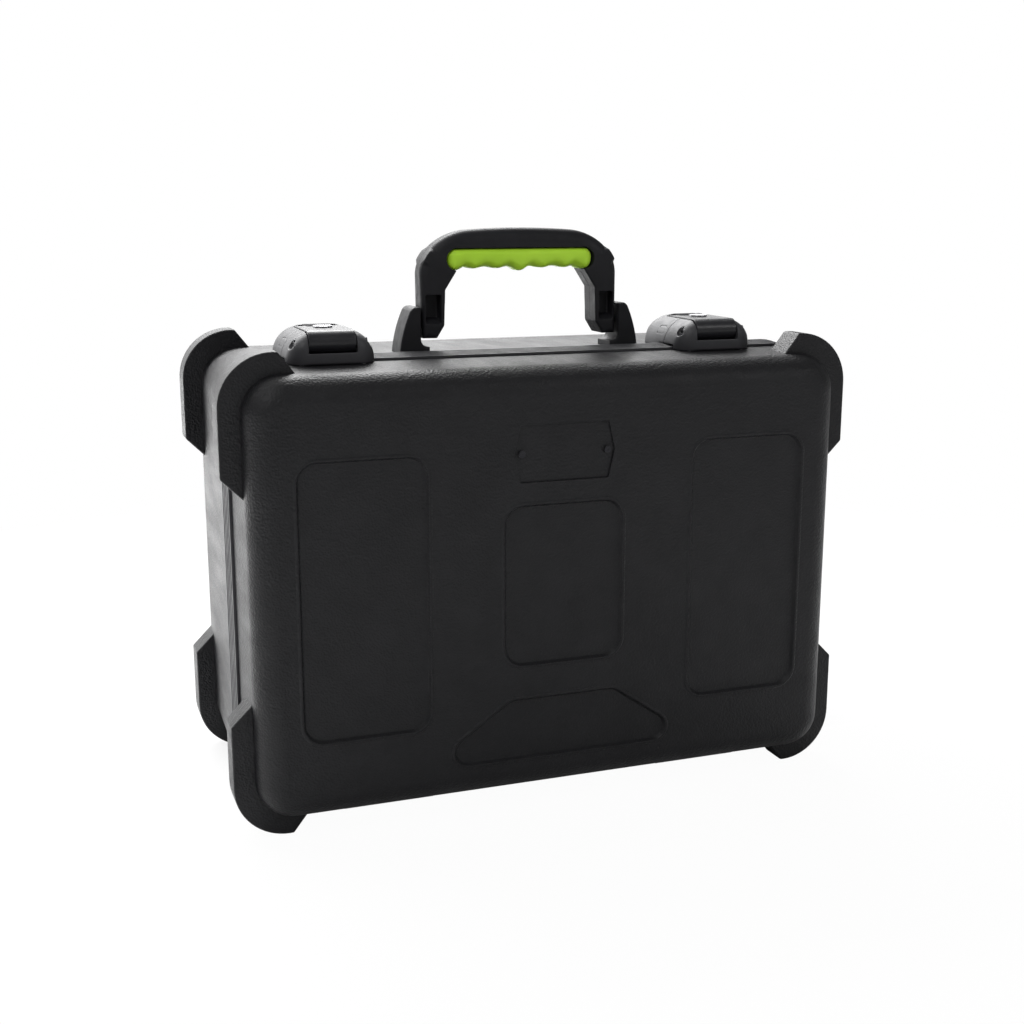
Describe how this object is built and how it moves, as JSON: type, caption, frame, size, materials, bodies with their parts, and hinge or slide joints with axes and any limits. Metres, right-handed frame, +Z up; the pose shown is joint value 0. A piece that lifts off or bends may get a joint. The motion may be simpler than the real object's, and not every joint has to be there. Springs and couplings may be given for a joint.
{
  "type": "microphone case",
  "caption": "Upright moulded carrying case with corner bumpers, a lid hinged along the bottom edge, flip latches, a folding handle with a soft grip and a foam insert.",
  "frame": {"origin": "middle of the footprint, on the plane that the four corner feet stand on", "axes": "+X across the width to the case's right as seen from the front, +Y from the lid to the back, +Z up to the handle"},
  "size_m": [0.498, 0.246, 0.4385],
  "materials": {
    "shell": "moulded leather grain, satin",
    "valance": "satin, ridged",
    "seal": "soft matt",
    "foam": "open-cell foam, matt",
    "badge": "smooth satin, blank",
    "black_screw": "blackened",
    "handle": "fine grain, satin",
    "grip": "soft satin green",
    "hinge_steel": "zinc-plated",
    "zinc": "zinc-plated",
    "latch": "fine satin",
    "lever": "semi-gloss"
  },
  "bodies": {
    "base": {"base_shell": "shell", "base_valance": "valance", "valance_seal": "seal", "floor_pad": "foam", "microphone_foam_1": "foam", "microphone_foam_2": "foam", "microphone_foam_3": "foam", "pocket_foam": "foam", "base_hinge_leaf_left": "hinge_steel", "base_hinge_leaf_right": "hinge_steel", "hinge_pin_left": "hinge_steel", "hinge_pin_right": "hinge_steel", "base_hinge_rivets": "zinc", "handle_bracket_left": "handle", "handle_bracket_right": "handle", "handle_pin_left": "zinc", "handle_pin_right": "zinc", "bracket_screws": "zinc", "latch_rear_housing_left": "latch", "latch_rear_housing_right": "latch", "catch_bar_left": "zinc", "catch_bar_right": "zinc", "rear_housing_screws": "zinc"},
    "lid": {"lid_shell": "shell", "lid_valance": "valance", "lid_foam": "foam", "badge_plate": "badge", "badge_screws": "black_screw", "lid_hinge_leaf_left": "hinge_steel", "lid_hinge_leaf_right": "hinge_steel", "lid_hinge_rivets": "zinc", "latch_front_housing_left": "latch", "latch_front_housing_right": "latch", "lever_pin_left": "zinc", "lever_pin_right": "zinc", "front_housing_screws": "zinc"},
    "handle": {"handle_frame": "handle", "handle_grip": "grip"},
    "lever_left": {"latch_lever_left": "lever", "latch_claw_left": "zinc"},
    "lock_left": {"lock_cylinder_left": "zinc"},
    "lever_right": {"latch_lever_right": "lever", "latch_claw_right": "zinc"},
    "lock_right": {"lock_cylinder_right": "zinc"}
  },
  "joints": [
    {"name": "lid_hinge", "type": "hinge", "parent": "base", "child": "lid", "pos_m": [0, -0.0615, 0.00595], "axis": [1, 0, 0], "range_deg": [0, 105]},
    {"name": "handle_swing", "type": "hinge", "parent": "base", "child": "handle", "pos_m": [0, -0.018, 0.3665], "axis": [1, 0, 0], "range_deg": [-85, 85]},
    {"name": "lever_lift_left", "type": "hinge", "parent": "lid", "child": "lever_left", "pos_m": [-0.1605, -0.065, 0.3592], "axis": [1, 0, 0], "range_deg": [0, 95]},
    {"name": "lock_turn_left", "type": "hinge", "parent": "lever_left", "child": "lock_left", "pos_m": [-0.1605, -0.04, 0.367], "axis": [0, 0, 1], "range_deg": [0, 90]},
    {"name": "lever_lift_right", "type": "hinge", "parent": "lid", "child": "lever_right", "pos_m": [0.1485, -0.065, 0.3592], "axis": [1, 0, 0], "range_deg": [0, 95]},
    {"name": "lock_turn_right", "type": "hinge", "parent": "lever_right", "child": "lock_right", "pos_m": [0.1485, -0.04, 0.367], "axis": [0, 0, 1], "range_deg": [0, 90]}
  ]
}
